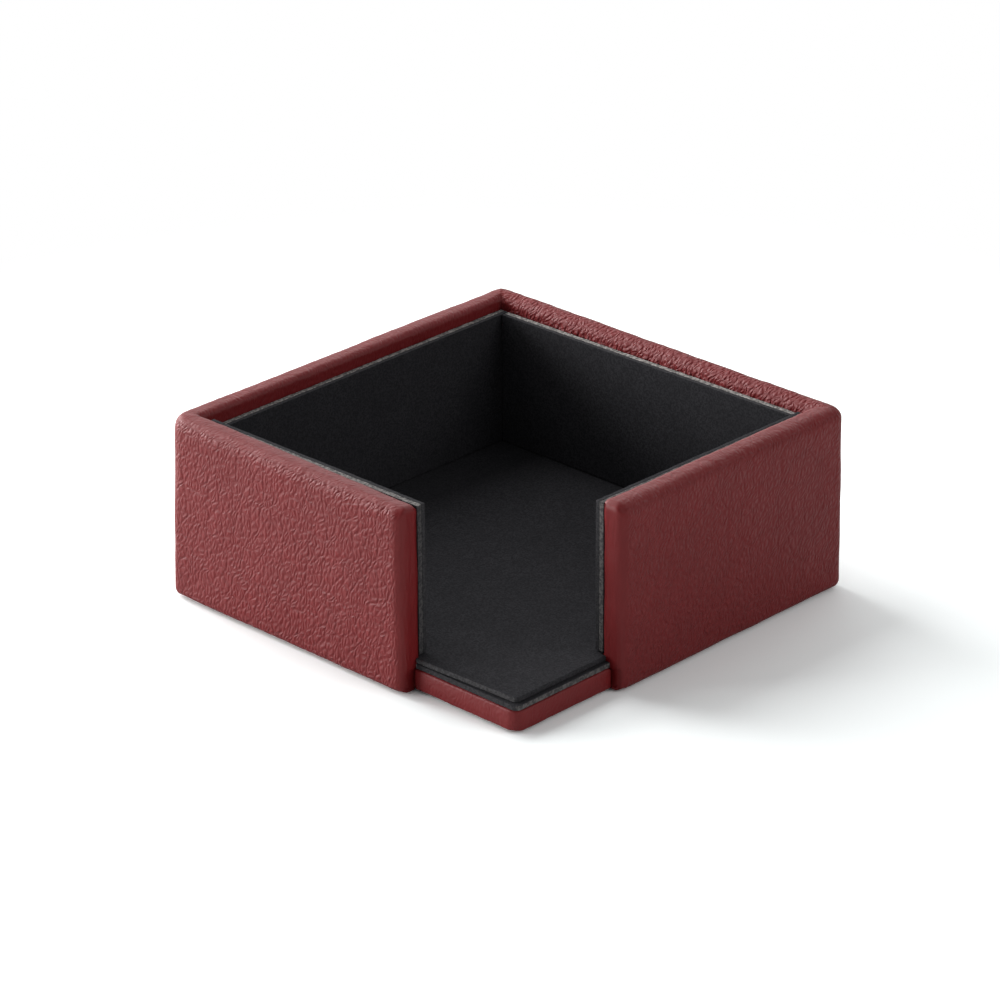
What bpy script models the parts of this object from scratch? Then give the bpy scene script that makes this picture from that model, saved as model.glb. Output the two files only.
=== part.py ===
"""Leather memo pad box: a square, open-topped tray whose front corner is left open.

Four grey boards stand round a thin slab. One band of leather wraps the boards and turns in over
the rim, a second piece wraps the slab, and black-faced cards line the walls and the floor.
The open corner points to +X and -Y, the origin is the middle of the footprint on the table.
"""
import math

import bmesh
import bpy
from mathutils import Vector

# Overall sizes
OUTER_SIDE = 0.1100
WALL_HEIGHT = 0.0450
CORNER_OPENING = 0.0342
TABLE_GAP = 0.0004

# Sheet thicknesses, and the clearance that the glued sheets keep
LEATHER = 0.0010
WALL_BOARD = 0.0027
SLAB_BOARD = 0.0020
LINING_CARD = 0.0010
LINING_FACING = 0.0010
PAD = 0.0008
FIT = 0.0003

# Rounding of the wrapped walls
CORNER_RADIUS = 0.0038
INSIDE_CORNER_RADIUS = 0.0006
RIM_OUTER_RADIUS = 0.0029
RIM_INNER_RADIUS = 0.0022
HEM_RADIUS = 0.0020
END_OUTER_RADIUS = 0.0022
END_INNER_RADIUS = 0.0012
END_TOP_RADIUS = 0.0024

# Leather that is turned in over the rim and round the free ends
RIM_TURN_IN = 0.0150
END_TURN_IN = 0.0120

# Slab in the open corner, set back from the walls' outer faces
SLAB_SETBACK_LEFT = 0.0040
SLAB_SETBACK_RIGHT = 0.0030
SLAB_END_GAP = 0.0005
SLAB_CORNER_RADIUS = 0.0025
SLAB_EDGE_RADIUS = 0.0011
SLAB_BOARD_EASE = 0.0002

# Floor lining in the open corner, set back from the slab's edge
CARD_SETBACK = 0.0006
CARD_CORNER_RADIUS = 0.0014
FACING_SETBACK = 0.0015
FACING_CORNER_RADIUS = 0.0010
CARD_EDGE_BEVEL = 0.00012

# Upper edge of the wall linings, measured down from the rim
LINING_DROP = 0.0038
LINING_DROP_END_LEFT = 0.0007
LINING_DROP_END_RIGHT = 0.0011

# Pad under the slab
PAD_MARGIN = 0.0020
PAD_CORNER_RADIUS = 0.0030

# How far the cutting bodies run past what they cut
OVERRUN = 0.0020

# Smallest fillet, the share of an edge that its two fillets may use, and facets of a quarter turn
LEAST_RADIUS = 0.0001
FILLET_SHARE = 0.95
ARC_STEPS = 6
SMOOTH_ANGLE = math.radians(40)

# Distances from the middle, from the outside in
HALF_SIDE = OUTER_SIDE / 2
BOARD_OUTSIDE = HALF_SIDE - LEATHER - FIT
BOARD_INSIDE = BOARD_OUTSIDE - WALL_BOARD
TURN_IN_FACE = BOARD_INSIDE - FIT - LEATHER
CARD_OUTSIDE = TURN_IN_FACE - FIT
FACING_OUTSIDE = CARD_OUTSIDE - LINING_CARD - FIT
ROOM_HALF = FACING_OUTSIDE - LINING_FACING
FREE_END = HALF_SIDE - CORNER_OPENING
SLAB_HALF = BOARD_INSIDE - FIT
SLAB_NOTCH = FREE_END + SLAB_END_GAP

# Heights above the table
RIM = TABLE_GAP + WALL_HEIGHT
SLAB_BOTTOM = PAD + FIT
SLAB_BOARD_BOTTOM = SLAB_BOTTOM + LEATHER + FIT
SLAB_TOP = SLAB_BOARD_BOTTOM + SLAB_BOARD + FIT + LEATHER
FLOOR_CARD_BOTTOM = SLAB_TOP + FIT
FLOOR_FACING_BOTTOM = FLOOR_CARD_BOTTOM + LINING_CARD + FIT
FLOOR = FLOOR_FACING_BOTTOM + LINING_FACING
LINING_BOTTOM = FLOOR + FIT

# Colours as linear RGB, and roughness
BORDEAUX = (0.130, 0.022, 0.024)
BLACK = (0.012, 0.012, 0.013)
CARD_GREY = (0.055, 0.055, 0.052)
BOARD_GREY = (0.220, 0.200, 0.170)
LEATHER_ROUGHNESS = 0.55
LINING_ROUGHNESS = 0.90
BOARD_ROUGHNESS = 0.95

# Turns about +Z that carry a piece made for the front left wall to each wall
WALL_TURNS = {
    "front_left": 0,
    "front_right": math.pi / 2,
    "back_right": math.pi,
    "back_left": -math.pi / 2,
}


def clear_scene():
    """Remove whatever the scene starts with."""
    for thing in list(bpy.data.objects):
        bpy.data.objects.remove(thing, do_unlink=True)


def add_root():
    """Empty at the middle of the footprint that carries every piece."""
    root = bpy.data.objects.new("memo_box", None)
    bpy.context.collection.objects.link(root)
    return root


def add_piece(name, mesh, height, root):
    """Object for one mesh, its foot at this height."""
    piece = bpy.data.objects.new(name, mesh)
    bpy.context.collection.objects.link(piece)
    piece.parent = root
    piece.location.z = height
    return piece


def finish(piece, colour, roughness):
    """Give the piece its own material and shade its round faces smooth."""
    material = bpy.data.materials.new(piece.name + "_finish")
    material.use_nodes = True
    shader = material.node_tree.nodes["Principled BSDF"]
    shader.inputs["Base Color"].default_value = (*colour, 1)
    shader.inputs["Roughness"].default_value = roughness
    shader.inputs["Metallic"].default_value = 0
    piece.data.materials.append(material)
    piece.data.shade_smooth()
    piece.data.set_sharp_from_angle(angle=SMOOTH_ANGLE)


def rounded_outline(corners):
    """Points round a square-cornered polygon given as (x, y, radius), each corner an arc.

    Two fillets that are too large for the edge between them share it by their radii.
    """
    count = len(corners)
    radii = [max(radius, LEAST_RADIUS) for _, _, radius in corners]
    points = []
    for index, (x, y, _) in enumerate(corners):
        following = (index + 1) % count
        corner = Vector((x, y))
        before = Vector(corners[index - 1][:2]) - corner
        after = Vector(corners[following][:2]) - corner
        radius = radii[index]
        room_before = before.length * radius / (radius + radii[index - 1])
        room_after = after.length * radius / (radius + radii[following])
        fillet = min(radius, FILLET_SHARE * room_before, FILLET_SHARE * room_after)
        before.normalize()
        after.normalize()
        centre = corner + (before + after) * fillet
        for step in range(ARC_STEPS + 1):
            spoke = (-after).slerp(-before, step / ARC_STEPS)
            points.append(centre + spoke * fillet)
    return points


def loft(name, sections):
    """Closed mesh through (height, points) sections that all have as many points."""
    shape = bmesh.new()
    rings = []
    for height, points in sections:
        rings.append([shape.verts.new((point.x, point.y, height)) for point in points])
    count = len(rings[0])
    for lower, upper in zip(rings, rings[1:]):
        for index in range(count):
            following = (index + 1) % count
            shape.faces.new((lower[index], lower[following], upper[following], upper[index]))
    shape.faces.new(list(reversed(rings[0])))
    shape.faces.new(rings[-1])
    mesh = bpy.data.meshes.new(name)
    shape.to_mesh(mesh)
    shape.free()
    return mesh


def edge_inset(radius, depth):
    """How far a rounded edge draws in at this depth from its flat face."""
    if depth >= radius:
        return 0
    return radius - math.sqrt(radius ** 2 - (radius - depth) ** 2)


def section_depths(radius, steps):
    """Depths from a flat face that divide the rounding next to it into equal angles."""
    return [radius * (1 - math.cos(math.pi / 2 * step / steps)) for step in range(steps + 1)]


def band_outline(outer_inset, inner_inset, end_inset, inset):
    """Plan of the wall band at one height: a square ring, open at the front corner."""
    outer = HALF_SIDE - inset - outer_inset
    inner = TURN_IN_FACE + inset + inner_inset
    end = FREE_END - inset - end_inset
    corner = CORNER_RADIUS - inset - outer_inset
    inside_corner = INSIDE_CORNER_RADIUS + inset + inner_inset
    end_outer = END_OUTER_RADIUS - inset - min(outer_inset, end_inset)
    end_inner = END_INNER_RADIUS - inset - min(inner_inset, end_inset)
    return rounded_outline([
        (-outer, -outer, corner),
        (end, -outer, end_outer),
        (end, -inner, end_inner),
        (-inner, -inner, inside_corner),
        (-inner, inner, inside_corner),
        (inner, inner, inside_corner),
        (inner, -end, end_inner),
        (outer, -end, end_outer),
        (outer, outer, corner),
        (-outer, outer, corner),
    ])


def band_mesh(name, inset):
    """Wall band drawn in by this much all round, from its hem to its rim."""
    height = WALL_HEIGHT - inset - inset
    hem = max(HEM_RADIUS - inset, LEAST_RADIUS)
    rim_outer = max(RIM_OUTER_RADIUS - inset, LEAST_RADIUS)
    rim_inner = max(RIM_INNER_RADIUS - inset, LEAST_RADIUS)
    end_top = max(END_TOP_RADIUS - inset, LEAST_RADIUS)
    sections = []
    for depth in section_depths(hem, ARC_STEPS // 2):
        drawn_in = edge_inset(hem, depth)
        sections.append((depth, band_outline(drawn_in, 0, drawn_in, inset)))
    rim_depths = section_depths(max(rim_outer, rim_inner, end_top), ARC_STEPS)
    for depth in reversed(rim_depths):
        outline = band_outline(
            edge_inset(rim_outer, depth),
            edge_inset(rim_inner, depth),
            edge_inset(end_top, depth),
            inset,
        )
        sections.append((height - depth, outline))
    return loft(name, sections)


def box_mesh(name, low, high):
    """Box between two opposite corners."""
    shape = bmesh.new()
    bmesh.ops.create_cube(shape, size=1)
    size = [top - bottom for bottom, top in zip(low, high)]
    middle = [(top + bottom) / 2 for bottom, top in zip(low, high)]
    bmesh.ops.scale(shape, vec=size, verts=shape.verts)
    bmesh.ops.translate(shape, vec=middle, verts=shape.verts)
    mesh = bpy.data.meshes.new(name)
    shape.to_mesh(mesh)
    shape.free()
    return mesh


def cut(piece, name, mesh, height):
    """Take a hidden body out of a piece."""
    cutter = add_piece(name, mesh, height, piece.parent)
    cutter.hide_render = True
    cutter.display_type = "WIRE"
    modifier = piece.modifiers.new(name, "BOOLEAN")
    modifier.operation = "DIFFERENCE"
    modifier.solver = "EXACT"
    modifier.object = cutter


def bevel_edges(piece, width):
    """Take the sharpness off the cut edges of a sheet."""
    modifier = piece.modifiers.new("cut_edges", "BEVEL")
    modifier.width = width
    modifier.segments = 1
    modifier.limit_method = "ANGLE"
    modifier.angle_limit = SMOOTH_ANGLE


def add_wall_leather(root):
    """One band of leather: outside, over the rim, round both free ends and under the boards."""
    piece = add_piece("wall_leather", band_mesh("wall_leather", 0), TABLE_GAP, root)
    cut(piece, "board_room", band_mesh("board_room", LEATHER), TABLE_GAP + LEATHER)
    reach = BOARD_INSIDE
    hem_cut = box_mesh("hem_cut", (-reach, -reach, -OVERRUN), (reach, reach, FLOOR_CARD_BOTTOM))
    cut(piece, "hem_cut", hem_cut, 0)
    turn_in_edge = RIM - RIM_TURN_IN
    margin = FREE_END - END_TURN_IN
    windows = {
        "left_window": ((-reach, -reach), (margin, reach)),
        "right_window": ((-reach, -margin), (reach, reach)),
    }
    for name, (low, high) in windows.items():
        mesh = box_mesh(name, (*low, SLAB_BOTTOM), (*high, turn_in_edge))
        cut(piece, name, mesh, 0)
    finish(piece, BORDEAUX, LEATHER_ROUGHNESS)


def board_outline(start, end, outer_inset, inner_inset, corner_inset, free_inset):
    """Plan of one wall board; start and end are each a place and the kind of end it has."""
    depth = LEATHER + FIT
    kinds = {
        "corner": (CORNER_RADIUS - depth - outer_inset, LEAST_RADIUS, corner_inset),
        "free": (END_OUTER_RADIUS - depth - free_inset, END_INNER_RADIUS - depth, free_inset),
        "butt": (LEAST_RADIUS, LEAST_RADIUS, 0),
    }
    start_outer, start_inner, start_inset = kinds[start[1]]
    end_outer, end_inner, end_inset = kinds[end[1]]
    low = start[0] + start_inset
    high = end[0] - end_inset
    outside = BOARD_OUTSIDE - outer_inset
    inside = BOARD_INSIDE + inner_inset
    return rounded_outline([
        (low, -outside, start_outer),
        (high, -outside, end_outer),
        (high, -inside, end_inner),
        (low, -inside, start_inner),
    ])


def board_mesh(name, start, end):
    """Board along the front left wall, rounded where the leather folds over it."""
    depth = LEATHER + FIT
    height = WALL_HEIGHT - depth - depth
    hem = HEM_RADIUS - depth
    rim_outer = RIM_OUTER_RADIUS - depth
    rim_inner = RIM_INNER_RADIUS - depth
    end_top = END_TOP_RADIUS - depth
    sections = []
    for below in section_depths(hem, ARC_STEPS // 2):
        drawn_in = edge_inset(hem, below)
        sections.append((below, board_outline(start, end, drawn_in, 0, drawn_in, drawn_in)))
    for below in reversed(section_depths(max(rim_outer, rim_inner, end_top), ARC_STEPS)):
        outer_inset = edge_inset(rim_outer, below)
        inner_inset = edge_inset(rim_inner, below)
        free_inset = edge_inset(end_top, below)
        outline = board_outline(start, end, outer_inset, inner_inset, outer_inset, free_inset)
        sections.append((height - below, outline))
    return loft(name, sections)


def add_wall_boards(root):
    """Four stiff boards inside the leather, butted at the corners and rounded at the rim."""
    depth = LEATHER + FIT
    corner = BOARD_OUTSIDE
    butt = BOARD_INSIDE - FIT
    free = FREE_END - depth
    walls = {
        "back_left": ((-corner, "corner"), (corner, "corner")),
        "back_right": ((-corner, "corner"), (butt, "butt")),
        "front_right": ((-free, "free"), (butt, "butt")),
        "front_left": ((-butt, "butt"), (free, "free")),
    }
    for wall, (start, end) in walls.items():
        name = "wall_board_" + wall
        piece = add_piece(name, board_mesh(name, start, end), TABLE_GAP + depth, root)
        piece.rotation_euler.z = WALL_TURNS[wall]
        finish(piece, BOARD_GREY, BOARD_ROUGHNESS)


def floor_outline(half, setback_left, setback_right, inset, open_inset, radius):
    """Plan of a floor layer: square between the walls, with an ear in the open corner.

    The inset draws in the two sides next to the open corner, open_inset the two back sides.
    """
    near = half - inset
    far = half - open_inset
    notch = SLAB_NOTCH + inset
    left = HALF_SIDE - setback_left - inset
    right = HALF_SIDE - setback_right - inset
    return rounded_outline([
        (-far, -near, LEAST_RADIUS),
        (notch, -near, LEAST_RADIUS),
        (notch, -left, LEAST_RADIUS),
        (right, -left, radius),
        (right, -notch, LEAST_RADIUS),
        (near, -notch, LEAST_RADIUS),
        (near, far, LEAST_RADIUS),
        (-far, far, LEAST_RADIUS),
    ])


def slab_outline(inset, open_inset):
    """Plan of the slab, drawn in by inset at its wrapped sides and open_inset at the back."""
    radius = SLAB_CORNER_RADIUS - inset
    return floor_outline(SLAB_HALF, SLAB_SETBACK_LEFT, SLAB_SETBACK_RIGHT, inset, open_inset, radius)


def add_slab(root):
    """Thin board wrapped in leather, its rounded edge showing in the open corner."""
    thickness = SLAB_TOP - SLAB_BOTTOM
    depths = section_depths(SLAB_EDGE_RADIUS, ARC_STEPS // 2)
    sections = []
    for depth in depths:
        drawn_in = edge_inset(SLAB_EDGE_RADIUS, depth)
        sections.append((depth, slab_outline(drawn_in, drawn_in)))
    for depth in reversed(depths):
        drawn_in = edge_inset(SLAB_EDGE_RADIUS, depth)
        sections.append((thickness - depth, slab_outline(drawn_in, drawn_in)))
    wrap = add_piece("base_leather", loft("base_leather", sections), SLAB_BOTTOM, root)
    room = SLAB_BOARD + FIT + FIT
    hollow_plan = slab_outline(LEATHER, -OVERRUN)
    hollow = loft("slab_hollow", [(0, hollow_plan), (room, hollow_plan)])
    cut(wrap, "slab_hollow", hollow, SLAB_BOTTOM + LEATHER)
    finish(wrap, BORDEAUX, LEATHER_ROUGHNESS)

    board_plan = slab_outline(LEATHER + FIT, SLAB_BOARD_EASE)
    board_mesh = loft("base_board", [(0, board_plan), (SLAB_BOARD, board_plan)])
    board = add_piece("base_board", board_mesh, SLAB_BOARD_BOTTOM, root)
    finish(board, BOARD_GREY, BOARD_ROUGHNESS)


def add_floor_lining(root):
    """Card glued on the slab, and the black facing on the card, both cut to the open corner."""
    layers = [
        ("floor_card", CARD_OUTSIDE, CARD_SETBACK, CARD_CORNER_RADIUS,
         FLOOR_CARD_BOTTOM, LINING_CARD, CARD_GREY),
        ("floor_facing", CARD_OUTSIDE - FIT, FACING_SETBACK, FACING_CORNER_RADIUS,
         FLOOR_FACING_BOTTOM, LINING_FACING, BLACK),
    ]
    for name, half, setback, radius, bottom, thickness, colour in layers:
        left = SLAB_SETBACK_LEFT + setback
        right = SLAB_SETBACK_RIGHT + setback
        plan = floor_outline(half, left, right, 0, 0, radius)
        mesh = loft(name, [(0, plan), (thickness, plan)])
        piece = add_piece(name, mesh, bottom, root)
        finish(piece, colour, LINING_ROUGHNESS)


def sheet_mesh(name, start, end, outside, thickness, start_height, end_height):
    """Upright sheet along the front left wall whose upper edge may slope along its length."""
    shape = bmesh.new()
    profile = [
        shape.verts.new((start, -outside, 0)),
        shape.verts.new((end, -outside, 0)),
        shape.verts.new((end, -outside, end_height)),
        shape.verts.new((start, -outside, start_height)),
    ]
    front = shape.faces.new(profile)
    grown = bmesh.ops.extrude_face_region(shape, geom=[front])
    moved = [item for item in grown["geom"] if isinstance(item, bmesh.types.BMVert)]
    bmesh.ops.translate(shape, vec=(0, thickness, 0), verts=moved)
    bmesh.ops.recalc_face_normals(shape, faces=shape.faces)
    mesh = bpy.data.meshes.new(name)
    shape.to_mesh(mesh)
    shape.free()
    return mesh


def add_wall_linings(root):
    """Card and black facing on each wall. They stand on the floor facing, below the rim."""
    full = CARD_OUTSIDE
    butt = ROOM_HALF - FIT
    low = LINING_DROP
    walls = {
        "back_left": (-full, full, low, low),
        "back_right": (-full, butt, low, low),
        "front_right": (-FREE_END, butt, LINING_DROP_END_RIGHT, low),
        "front_left": (-butt, FREE_END, low, LINING_DROP_END_LEFT),
    }
    layers = [
        ("lining_card_", CARD_OUTSIDE, LINING_CARD, CARD_GREY),
        ("lining_facing_", FACING_OUTSIDE, LINING_FACING, BLACK),
    ]
    for wall, (start, end, start_drop, end_drop) in walls.items():
        for kind, outside, thickness, colour in layers:
            name = kind + wall
            start_height = RIM - start_drop - LINING_BOTTOM
            end_height = RIM - end_drop - LINING_BOTTOM
            mesh = sheet_mesh(name, start, end, outside, thickness, start_height, end_height)
            piece = add_piece(name, mesh, LINING_BOTTOM, root)
            piece.rotation_euler.z = WALL_TURNS[wall]
            bevel_edges(piece, CARD_EDGE_BEVEL)
            finish(piece, colour, LINING_ROUGHNESS)


def add_bottom_pad(root):
    """Thin pad glued under the slab, the face that the box stands on."""
    back = SLAB_HALF - PAD_MARGIN
    left = HALF_SIDE - SLAB_SETBACK_LEFT - PAD_MARGIN
    right = HALF_SIDE - SLAB_SETBACK_RIGHT - PAD_MARGIN
    near = min(back, left)
    side = min(back, right)
    plan = rounded_outline([
        (-back, -near, PAD_CORNER_RADIUS),
        (side, -near, PAD_CORNER_RADIUS),
        (side, back, PAD_CORNER_RADIUS),
        (-back, back, PAD_CORNER_RADIUS),
    ])
    pad = add_piece("bottom_pad", loft("bottom_pad", [(0, plan), (PAD, plan)]), 0, root)
    finish(pad, BLACK, LINING_ROUGHNESS)


clear_scene()
memo_box = add_root()
add_bottom_pad(memo_box)
add_slab(memo_box)
add_wall_boards(memo_box)
add_wall_leather(memo_box)
add_floor_lining(memo_box)
add_wall_linings(memo_box)
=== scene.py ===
import math

import bmesh
import bpy
import numpy as np
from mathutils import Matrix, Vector, noise


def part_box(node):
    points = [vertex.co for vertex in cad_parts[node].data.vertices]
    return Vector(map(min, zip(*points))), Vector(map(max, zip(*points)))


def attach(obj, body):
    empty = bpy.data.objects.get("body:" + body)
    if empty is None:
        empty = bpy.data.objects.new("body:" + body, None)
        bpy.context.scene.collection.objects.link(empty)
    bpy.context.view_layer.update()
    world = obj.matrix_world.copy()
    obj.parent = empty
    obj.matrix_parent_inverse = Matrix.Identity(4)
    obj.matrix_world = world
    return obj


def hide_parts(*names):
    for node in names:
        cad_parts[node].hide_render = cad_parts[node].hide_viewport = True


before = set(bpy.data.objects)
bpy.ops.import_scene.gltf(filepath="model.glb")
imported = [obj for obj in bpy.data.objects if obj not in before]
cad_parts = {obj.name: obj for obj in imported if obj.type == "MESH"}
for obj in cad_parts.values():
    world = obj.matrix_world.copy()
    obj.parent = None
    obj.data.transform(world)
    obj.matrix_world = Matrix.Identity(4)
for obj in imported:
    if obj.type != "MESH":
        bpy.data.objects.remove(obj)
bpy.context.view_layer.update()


# Boards: raw grey bookbinding board, sawn to size and rounded at the rim. One lies inside the
# floor slab and four stand in the walls. The leather is glued round them, so they never show.
BOARD_SHADE = (0.22, 0.20, 0.17, 1)
BOARD_FLECK = (0.10, 0.09, 0.08, 1)
BOARD_FIBRE = 1800.0
BOARD_TOOTH = 0.00004


def node(tree, kind, inputs=None, **settings):
    """Add a shader node. Each input is a value, or the output socket that it is linked to."""
    made = tree.nodes.new("ShaderNode" + kind)
    for setting, value in settings.items():
        setattr(made, setting, value)
    for socket, value in (inputs or {}).items():
        if isinstance(value, bpy.types.NodeSocket):
            tree.links.new(value, made.inputs[socket])
        else:
            made.inputs[socket].default_value = value
    return made


def mix(tree, share, first, second):
    """Colour between two colours."""
    return node(tree, "Mix", {0: share, 6: first, 7: second}, data_type="RGBA").outputs[2]


def maths(tree, operation, first, second=0.0):
    """Value worked out from one or two values."""
    return node(tree, "Math", {0: first, 1: second}, operation=operation).outputs[0]


def ramp(tree, value, low, high, to_low=0.0, to_high=1.0):
    """Value eased from one range to another."""
    inputs = {"Value": value, "From Min": low, "From Max": high, "To Min": to_low, "To Max": to_high}
    return node(tree, "MapRange", inputs, interpolation_type="SMOOTHSTEP").outputs[0]


def new_material(name):
    """Material with its node tree and its Principled shader."""
    material = bpy.data.materials.new(name)
    material.use_nodes = True
    return material, material.node_tree, material.node_tree.nodes["Principled BSDF"]


def relief(tree, height, depth):
    """Bumped normal for a height between 0 and 1 that is this deep in metres."""
    return node(tree, "Bump", {"Height": height, "Distance": depth, "Strength": 1.0}).outputs[0]


def grey_board():
    """Pressed waste paper: grey, flecked and slightly furry."""
    material, tree, shader = new_material("grey_board")
    place = node(tree, "TexCoord").outputs["Object"]
    fibre = node(tree, "TexNoise", {"Vector": place, "Scale": BOARD_FIBRE, "Detail": 3.0}).outputs[0]
    flecked = mix(tree, ramp(tree, fibre, 0.55, 0.75), BOARD_SHADE, BOARD_FLECK)
    tree.links.new(flecked, shader.inputs["Base Color"])
    tree.links.new(relief(tree, fibre, BOARD_TOOTH), shader.inputs["Normal"])
    shader.inputs["Roughness"].default_value = 0.95
    shader.inputs["Specular IOR Level"].default_value = 0.2
    return material


board_finish = grey_board()
for name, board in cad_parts.items():
    if "board" in name:
        board.data.materials.clear()
        board.data.materials.append(board_finish)


# Slab leather: bordeaux leather glued round the floor board. Its wrapped edge shows as a red
# strip in the open corner, where the thin leather lies in faint upright ripples.
LEATHER_SHADE = (0.140, 0.0048, 0.0060, 1)
# Darker leather colour for random mottle, also used as painted shade in the grain's valleys.
LEATHER_MOTTLE_AND_CREASE_SHADE = (0.095, 0.0026, 0.0034, 1)
LEATHER_THICK = 0.0009
LEATHER_DULL = (0.54, 0.62)
LEATHER_SPECULAR = 0.31
LEATHER_CLOUD = 120.0
LEATHER_MOTTLE = 0.25
# Share of painted shade darkening the grain's valleys.
CREASE_SHADE_SHARE = 0.35
MILLIMETRES = 1000.0
SLAB_EDGE = 0.0005
SLAB_CORNER = 0.0030
SLAB_RIPPLE = 0.00010
GRAIN_WIDE = 1.10
GRAIN_LONG = 2.10
CREASE_WIDE = 3.4
CREASE_LONG = 7.0
GRAIN_PARTS = (0.46, 0.32, 0.30, 0.10, 0.3)
GRAIN_DEPTH = 0.00054
GRAIN_LEAN = -0.34
GRAIN_ROUND = 0.45
CREASE_LEAN = -0.42
CREASE_ROUND = 0.13
SWELL_WIDE = 3.2
SWELL_LONG = 4.5
PLEAT_WIDE = 1.9
PLEAT_LONG = 9.0
PLEAT_ROUND = 0.30
WAVE_BROAD = (0.16, 3.0)
WAVE_NARROW = (0.50, 0.8)
WAVE_PLEAT = (0.35, 1.6)


def open_mesh(piece):
    """Take one piece into edit mode with nothing selected."""
    bpy.ops.object.select_all(action="DESELECT")
    bpy.context.view_layer.objects.active = piece
    piece.select_set(True)
    bpy.ops.object.mode_set(mode="EDIT")
    bpy.ops.mesh.select_all(action="DESELECT")


def close_mesh():
    bpy.ops.object.mode_set(mode="OBJECT")


def pick_faces(piece, wanted):
    """Select the faces that a test on their middle and normal takes."""
    bpy.ops.mesh.select_mode(type="FACE")
    bpy.ops.mesh.select_all(action="DESELECT")
    shape = bmesh.from_edit_mesh(piece.data)
    for face in shape.faces:
        face.select_set(wanted(face.calc_center_median(), face.normal))
    bmesh.update_edit_mesh(piece.data)


def pick_edges(piece, wanted):
    """Select the edges that a test on their middle and their span takes."""
    bpy.ops.mesh.select_mode(type="EDGE")
    bpy.ops.mesh.select_all(action="DESELECT")
    shape = bmesh.from_edit_mesh(piece.data)
    for edge in shape.edges:
        start, end = edge.verts[0].co, edge.verts[1].co
        edge.select_set(wanted((start + end) / 2, end - start))
    bmesh.update_edit_mesh(piece.data)


def slice_at(point, normal):
    """Cut the selected faces along a plane."""
    bpy.ops.mesh.bisect(plane_co=point, plane_no=normal)


def finish_piece(piece, name, slot, *nodes):
    """Name a finished piece and put it in the frame in place of its nodes."""
    piece.name = name
    piece.data.name = name
    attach(piece, "root")
    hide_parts(*nodes)


def apply_modifier(piece, kind, **settings):
    """Add a modifier and apply it straight away."""
    made = piece.modifiers.new(kind.lower(), kind)
    for setting, value in settings.items():
        setattr(made, setting, value)
    bpy.ops.object.select_all(action="DESELECT")
    bpy.context.view_layer.objects.active = piece
    piece.select_set(True)
    bpy.ops.object.modifier_apply(modifier=made.name)


def build_grain_group():
    """Grain of full-grain leather, on a flat sheet measured in millimetres."""
    group = bpy.data.node_groups.new("leather_grain", "ShaderNodeTree")
    group.interface.new_socket("Sheet", in_out="INPUT", socket_type="NodeSocketVector")
    group.interface.new_socket("Strength", in_out="INPUT", socket_type="NodeSocketFloat")
    group.interface.new_socket("Gather", in_out="INPUT", socket_type="NodeSocketFloat")
    group.interface.new_socket("Height", in_out="OUTPUT", socket_type="NodeSocketFloat")
    group.interface.new_socket("Valley", in_out="OUTPUT", socket_type="NodeSocketFloat")
    start = group.nodes.new("NodeGroupInput")
    end = group.nodes.new("NodeGroupOutput")
    sheet = start.outputs["Sheet"]

    def drift(scale, reach):
        """Push the pattern about, so that no row of cells stays straight."""
        cloud = node(group, "TexNoise", {"Vector": sheet, "Scale": scale, "Detail": 2.0}).outputs["Color"]
        centred = node(group, "VectorMath", {0: cloud, 1: (0.5, 0.5, 0.5)}, operation="SUBTRACT").outputs[0]
        return node(group, "VectorMath", {0: centred, "Scale": reach}, operation="SCALE").outputs[0]

    def add(first, second):
        return node(group, "VectorMath", {0: first, 1: second}, operation="ADD").outputs[0]

    def turned(place, wide, long, lean):
        """Sheet turned by this angle and measured in cells of this size."""
        inputs = {"Vector": place, "Rotation": (0, 0, lean), "Scale": (wide, long, 1.0)}
        return node(group, "Mapping", inputs, vector_type="TEXTURE").outputs[0]

    def cells(place, wide, long, lean, rounded):
        """Distance from the seams between cells of this size, which lean by this angle."""
        inputs = {"Vector": turned(place, wide, long, lean), "Scale": 1.0}
        seams = node(group, "TexVoronoi", inputs, voronoi_dimensions="2D", feature="DISTANCE_TO_EDGE")
        return ramp(group, seams.outputs["Distance"], 0.0, rounded)

    def clouds(place, wide, long, lean, detail):
        """Soft swellings of this size, which lean by this angle."""
        inputs = {"Vector": turned(place, wide, long, lean), "Scale": 1.0, "Detail": detail}
        return node(group, "TexNoise", inputs).outputs[0]

    wavy = add(sheet, add(drift(*WAVE_BROAD), drift(*WAVE_NARROW)))
    pebble = cells(wavy, GRAIN_WIDE, GRAIN_LONG, GRAIN_LEAN, GRAIN_ROUND)
    crease = cells(wavy, CREASE_WIDE, CREASE_LONG, CREASE_LEAN, CREASE_ROUND)
    folds = clouds(wavy, GRAIN_WIDE * 0.95, GRAIN_LONG * 1.5, GRAIN_LEAN, 0.0)
    small = clouds(sheet, GRAIN_WIDE * 0.40, GRAIN_LONG * 0.35, 0.1, 1.0)
    swell = clouds(sheet, SWELL_WIDE, SWELL_LONG, 0.0, 1.0)
    height = maths(group, "MULTIPLY", pebble, GRAIN_PARTS[0])
    for part, share in zip((crease, folds, small, swell), GRAIN_PARTS[1:]):
        height = maths(group, "ADD", height, maths(group, "MULTIPLY", part, share))
    height = maths(group, "MULTIPLY", height, start.outputs["Strength"])
    pleats = cells(add(sheet, drift(*WAVE_PLEAT)), PLEAT_WIDE, PLEAT_LONG, 0.0, PLEAT_ROUND)
    pleats = maths(group, "MULTIPLY", maths(group, "SUBTRACT", pleats, 1.0), start.outputs["Gather"])
    height = maths(group, "ADD", height, pleats)
    ridge = maths(group, "MULTIPLY", pebble, crease)
    valley = maths(group, "MULTIPLY", maths(group, "SUBTRACT", 1.0, ridge), start.outputs["Strength"])
    group.links.new(height, end.inputs["Height"])
    group.links.new(valley, end.inputs["Valley"])
    return group


grain_group = build_grain_group()


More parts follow.
